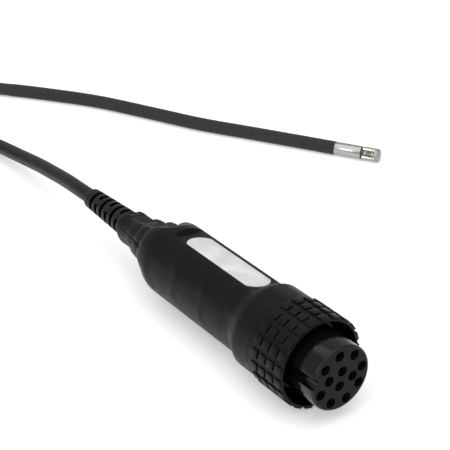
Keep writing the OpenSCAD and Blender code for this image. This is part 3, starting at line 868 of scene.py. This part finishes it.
def shell(name, upper):
    """One half of the handle: a sheet laid on the handle's surface, then given its wall."""
    back = body_places()
    columns = 108
    pick(None)
    bpy.ops.mesh.primitive_grid_add(x_subdivisions=len(back) - 1, y_subdivisions=columns, size=1)
    piece = named(bpy.context.object, name)
    mesh = piece.data
    flat = np.zeros(len(mesh.vertices) * 3, np.float32)
    mesh.vertices.foreach_get("co", flat)
    flat = flat.reshape(-1, 3)
    column = np.round((flat[:, 1] + 0.5) * columns).astype(int)
    row = np.round((flat[:, 0] + 0.5) * (len(back) - 1)).astype(int)
    half = np.pi * column / columns
    # closer together at the parting line
    half = half - 0.25 * np.sin(2 * half) / 2
    angle = half if upper else half + np.pi
    s = back[row]
    radius = body_radius(s, angle)
    gap = sizes().parting_gap / MM
    x, y, z = -s, radius * np.cos(angle), radius * np.sin(angle)
    z = np.maximum(z, gap) if upper else np.minimum(z, -gap)
    mesh.vertices.foreach_set("co", (np.stack([x, y, z], axis=1) * MM).astype(np.float32).ravel())
    mesh.update()
    merge_and_face_out(piece)
    mesh = piece.data
    middle = mesh.polygons[len(mesh.polygons) // 2]
    outward = middle.normal.dot(Vector((0, middle.center.y, middle.center.z)))
    if outward < 0:
        start_editing(piece)
        bpy.ops.mesh.flip_normals()
        stop_editing()
    modify(piece, "SOLIDIFY", thickness=sizes().shell_wall, offset=-1, use_even_offset=False)
    return lie_down(piece)


class PROBE_OT_body(bpy.types.Operator):
    """Moulds the two shells of the handle, with their flat, finger dimples and stepped rear."""

    bl_idname = "probe.body"
    bl_label = "Handle shells"

    def execute(self, context):
        for node in ("upper_shell", "lower_shell"):
            piece = shell(node + "_skin", node == "upper_shell")
            finish(piece, "probe", "soft_matt_plastic", [node], smooth=50)
        return {"FINISHED"}


class PROBE_OT_label(bpy.types.Operator):
    """Lays the blank label on the flat."""

    bl_idname = "probe.label"
    bl_label = "Label"

    def execute(self, context):
        width, length, thick, middle, aside = 10.0, 37.6, 0.3, 58.6, -0.7
        half = length / 2
        height = sizes().flat_height / MM
        plate = box(
            "label",
            (-middle - half, aside - width / 2, height + 0.01),
            (-middle + half, aside + width / 2, height + thick),
        )
        # front and rear ends are cut to shallow arcs
        for end in (1, -1):
            ring = 0.6 * width
            pick(None)
            bpy.ops.mesh.primitive_cylinder_add(
                vertices=160, radius=ring * MM, depth=4 * MM,
                location=((-middle + end * (half - ring)) * MM, aside * MM, height * MM),
            )  # fmt: skip
            keep = settled("label_arc")
            edge = -middle + end * (half - ring)
            block = box(
                "label_end",
                (min(edge, edge + end * 12), -width, height - 1),
                (max(edge, edge + end * 12), width, height + 1),
            )
            cut(block, keep)
            cut(plate, block)
        round_edges(plate, 0.08 * MM, segments=2, angle=30)
        lie_down(plate)
        finish(plate, "probe", "label_stock", ["label_plate"])
        return {"FINISHED"}


# ---- nut and insert ---------------------------------------------------------


class PROBE_OT_nut(bpy.types.Operator):
    """Turns the coupling nut with its inner thread and sets the rings of raised tiles on it."""

    bl_idname = "probe.nut"
    bl_label = "Coupling nut"

    def execute(self, context):
        front, rear, lip, outer, bore, seat = 9.5, 26.1, 23.3, 15.0, 14.1, 12.05
        thread = []
        for k in range(4, 0, -1):
            at = front + 1.2 + (k - 0.5) * 2.0
            for ahead, depth in ((0.5, 0), (0.24, 0.55), (0, 0.6), (-0.24, 0.55), (-0.5, 0)):
                thread.append((at + ahead, bore - depth))
        profile = [
            (front, outer - 0.45), (front + 0.1, outer - 0.2), (front + 0.3, outer - 0.05),
            (front + 0.5, outer), (rear + 0.1, outer - 0.02), (rear + 0.2, outer - 0.12),
            (rear + 0.2, seat), (lip, seat),
            (lip, bore), *thread, (front + 0.25, bore), (front + 0.05, bore + 0.12), (front, bore + 0.3),
        ]  # fmt: skip
        nut = turned("grip_nut", profile, steps=176, closed=True)
        rows, count, rise = sizes().tile_rows, sizes().tiles_round, sizes().tile_height / MM
        pitch = (rear - front - 1.2) / rows
        width = 1.24 * outer * math.pi / count
        tile = box("tile", (-pitch * 0.76, -width / 2, outer - 0.35), (0, width / 2, outer + rise))
        round_edges(tile, 0.13 * MM, segments=2)
        tiles = []
        for row in range(rows):
            back = front + 0.2 + pitch * row
            for k in range(count):
                turn = Matrix.Rotation(FULL_TURN * (0.25 + k / count), 4, "X")
                tiles.append(copied(tile, turn @ Matrix.Translation((-back * MM, 0, 0))))
        bpy.data.objects.remove(tile)
        join(nut, *tiles)
        lie_down(nut)
        finish(nut, "nut", "nut_plastic", ["coupling_nut"])
        # painted shade: the bore behind the front rim gets the near-black plastic, standing in for the
        # shade inside the nut
        nut.data.materials.append(bpy.data.materials["shaded_plastic"])
        for face in nut.data.polygons:
            x, y, z = face.center / MM
            if math.hypot(y, z) < bore + 0.02 and -x > front + 0.4:
                face.material_index = 1
        return {"FINISHED"}


def contact_places():
    """(y, z) of each contact on the upright plug, in millimetres; the keyway is on the -Y side."""
    angles = [side * (180 - 43 * (3.5 - k) + 1.5) for side in (1, -1) for k in range(4)]
    polar = [(a, 8.15) for a in angles] + [(0, 4.6), (180, 4.6), (90, 2.5), (-90, 2.5)]
    return [(-r * math.cos(math.radians(a)), r * math.sin(math.radians(a))) for a, r in polar]


class PROBE_OT_insert(bpy.types.Operator):
    """Moulds the contact insert with its twelve holes and its keyway."""

    bl_idname = "probe.insert"
    bl_label = "Contact insert"

    def execute(self, context):
        edge = [
            (0.8 * (1 - math.sin(math.radians(a))), 11.0 - 0.8 * (1 - math.cos(math.radians(a))))
            for a in range(90, -1, -10)
        ]
        insert = turned(
            "insert",
            [(0, 0), (0, 4), (0, 8), *edge, (17.0, 11.0), (17.0, 10.5), (23.2, 10.5), (23.2, 0)],
            steps=160,
        )
        merge_and_face_out(insert)
        for y, z in contact_places():
            mouth = bar("hole", -1, 1 + 1.2, 1.7, y, z, steps=40)
            cut(insert, mouth, bar("hole", 0, 24.5, 1.36, y, z, steps=32))
        centre = 11.0 - 2.0 + 1.9
        cut(
            insert,
            bar("keyway", -1, 16, 1.9, -centre, 0, steps=48),
            box("keyway", (-15, -20, -1.9), (1, -centre, 1.9)),
        )
        round_edges(insert, 0.16 * MM, segments=2, angle=50)
        face_finish = bpy.data.materials["insert_face_plastic"]
        lie_down(insert)
        finish(insert, "probe", "gloss_insert_plastic", ["contact_insert"], smooth=40)
        insert.data.materials.append(face_finish)
        for face in insert.data.polygons:
            middle = face.center
            if face.normal.x > 0.95 and middle.x > -0.0004 and math.hypot(middle.y, middle.z) < 0.0104:
                face.material_index = 1
        return {"FINISHED"}


# ---- camera head ------------------------------------------------------------


class PROBE_OT_head(bpy.types.Operator):
    """Makes the camera head's tube, tip housing and window."""

    bl_idname = "probe.head"
    bl_label = "Camera head"

    def execute(self, context):
        radius = sizes().head_radius / MM
        place = head_frame()
        # the turning helper counts distances backwards, so the head's are written negative
        tube = turned(
            "head_sleeve",
            [
                (0, 2.4), (0, radius - 0.14), (-0.06, radius - 0.04), (-0.2, radius), (-11.24, radius),
                (-11.35, radius - 0.05), (-11.4, radius - 0.15), (-11.4, 2.4),
            ],
            steps=96,
            closed=True,
        )  # fmt: skip
        tube.data.transform(place)
        finish(tube, "probe", "turned_steel", ["head_tube"])

        tip_start, tip_end, edge = 11.95, 19.2, 1.0
        nose = []
        for degrees in range(0, 91, 9):
            a = math.radians(degrees)
            nose.append((-(tip_end - edge + edge * math.sin(a)), radius - edge + edge * math.cos(a)))
        tip = turned(
            "tip",
            [
                (-9.6, 0), (-9.6, 2.38), (-tip_start, 2.38), (-tip_start, radius - 0.14),
                (-tip_start - 0.06, radius - 0.04), (-tip_start - 0.2, radius), *nose,
                (-tip_end, 0.6), (-tip_end, 0),
            ],
            steps=96,
        )  # fmt: skip
        merge_and_face_out(tip)
        cut(
            tip,
            box("flat", (tip_start + 0.1, -5, 1.8), (tip_start + 5.45, 5, 6)),
            box("window_seat", (12.2, -1.3, 1.45), (17.0, 1.3, 3)),
            box("hollow", (12.4, -1.02, -2.0), (16.8, 1.02, 3)),
            box("passage", (9.0, -1.02, -2.0), (13.0, 1.02, -0.7)),
        )
        round_edges(tip, 0.07 * MM, segments=2, angle=30)
        for name in ("turned_steel", "blasted_steel", "lens_mount_black"):
            tip.data.materials.append(bpy.data.materials[name])
        for face in tip.data.polygons:
            x, y, z = face.center / MM
            if x > tip_start + 5.6:
                face.material_index = 1
            elif x < tip_start - 0.01:
                face.material_index = 2
            elif 12.3 < x < 16.9 and abs(y) < 1.1 and z < 1.46:
                face.material_index = 2
        tip.data.transform(place)
        finish(tip, "probe", None, ["tip_housing"])

        glass = box("window", (12.22, -1.28, 1.47), (16.98, 1.28, 1.76))
        round_edges(glass, 0.06 * MM, segments=2)
        glass.data.transform(place)
        finish(glass, "probe", "window_glass_finish", ["window_glass"])
        return {"FINISHED"}


class PROBE_OT_inner_parts(bpy.types.Operator):
    """Gives the parts that stay as they are in the CAD model their finishes."""

    bl_idname = "probe.inner_parts"
    bl_label = "Inner parts"

    def execute(self, context):
        worn = {
            "gold_plating": [f"contact_{i}" for i in range(1, 13)],
            "spring_steel": ["insert_retainer", "snap_ring", "cable_clamp", "crimp_sleeve"],
            "anodised_barrel": ["connector_barrel"],
            "seal_rubber_finish": ["face_seal"],
            "washer_plastic": ["thrust_washer"],
            "black_oxide_screw": ["shell_screws", "clamp_screws"],
            "circuit_board_green": ["contact_board", "main_board", "head_board"],
            "header_plastic_black": ["board_header"],
            "header_plastic_cream": ["cable_header"],
            "chip_package": ["image_processor", "memory_chip", "power_inductor"],
            "wire_insulation": ["board_wires", "head_wires"],
            "smooth_jacket": ["plug_cable_end"],
            "wound_cable_end": ["head_cable_end"],
            "ferrule_plastic": ["splice_ferrule"],
            "phosphor_lamp": ["led_rear", "led_front"],
            "lens_mount_black": ["lens_barrel"],
            "lens_glass_finish": ["objective_lens"],
            "sensor_surface": ["image_sensor"],
        }
        moulded("wound_cable_end", colours().braid, 0.5)
        for finish_name, nodes in worn.items():
            for node in nodes:
                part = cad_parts[node]
                for slot in part.material_slots:
                    slot.material = bpy.data.materials[finish_name]
        return {"FINISHED"}


# ---- stage ------------------------------------------------------------------


def soft_light(name, place, target, width, height, power):
    light = bpy.data.objects.new(name, bpy.data.lights.new(name, "AREA"))
    light.data.shape = "RECTANGLE"
    light.data.size, light.data.size_y = width, height
    light.data.energy = power
    light.location = place
    light.rotation_mode = "QUATERNION"
    light.rotation_quaternion = (Vector(target) - Vector(place)).to_track_quat("-Z", "Y")
    bpy.context.collection.objects.link(light)
    return light


class PROBE_OT_stage(bpy.types.Operator):
    """Sets the pale floor and the soft studio lights."""

    bl_idname = "probe.stage"
    bl_label = "Stage"

    def execute(self, context):
        paper = Finish("pale_floor", roughness=0.9, Emission_Color=(1, 1, 1, 1), Emission_Strength=0.30)
        tone = paper.noise(2.0, detail=2)
        paper.tint(paper.ramp(tone, [(0.3, (0.86, 0.86, 0.86)), (0.7, (0.88, 0.88, 0.88))]))
        pick(None)
        bpy.ops.mesh.primitive_plane_add(size=8, location=(0, 0, FLOOR - 0.00005))
        floor = named(context.object, "floor")
        floor.data.materials.append(paper.material)
        world = bpy.data.worlds.new("studio")
        world.use_nodes = True
        world.node_tree.nodes["Background"].inputs["Color"].default_value = (1, 1, 1, 1)
        world.node_tree.nodes["Background"].inputs["Strength"].default_value = 0.62
        context.scene.world = world
        soft_light("top_light", (0.10, -0.25, 1.7), (-0.07, 0, 0), 2.6, 2.6, 22)
        soft_light("front_light", (0.17, -0.95, 0.55), (-0.09, 0.06, 0), 0.5, 0.5, 3)
        context.scene.view_settings.view_transform = "Standard"
        return {"FINISHED"}


class PROBE_PT_panel(bpy.types.Panel):
    """Lists the probe's sizes, colours and pieces."""

    bl_idname = "PROBE_PT_panel"
    bl_label = "Inspection camera probe"
    bl_space_type = "VIEW_3D"
    bl_region_type = "UI"
    bl_category = "Probe"

    def draw(self, context):
        for group in (context.scene.probe_sizes, context.scene.probe_colours):
            box_area = self.layout.box()
            for key in group.__annotations__:
                box_area.prop(group, key)
        for step in STEPS:
            self.layout.operator(step.bl_idname)


STEPS = (
    PROBE_OT_camera,
    PROBE_OT_cable,
    PROBE_OT_boot,
    PROBE_OT_body,
    PROBE_OT_label,
    PROBE_OT_nut,
    PROBE_OT_insert,
    PROBE_OT_head,
    PROBE_OT_inner_parts,
    PROBE_OT_stage,
)
CLASSES = (ProbeSizes, ProbeColours, *STEPS, PROBE_PT_panel)


def register():
    for cls in CLASSES:
        bpy.utils.register_class(cls)
    bpy.types.Scene.probe_sizes = PointerProperty(type=ProbeSizes)
    bpy.types.Scene.probe_colours = PointerProperty(type=ProbeColours)


def unregister():
    del bpy.types.Scene.probe_colours
    del bpy.types.Scene.probe_sizes
    for cls in reversed(CLASSES):
        bpy.utils.unregister_class(cls)


def main():
    register()
    make_finishes()
    for step in STEPS:
        group, name = step.bl_idname.split(".")
        getattr(getattr(bpy.ops, group), name)()


if __name__ == "__main__":
    main()
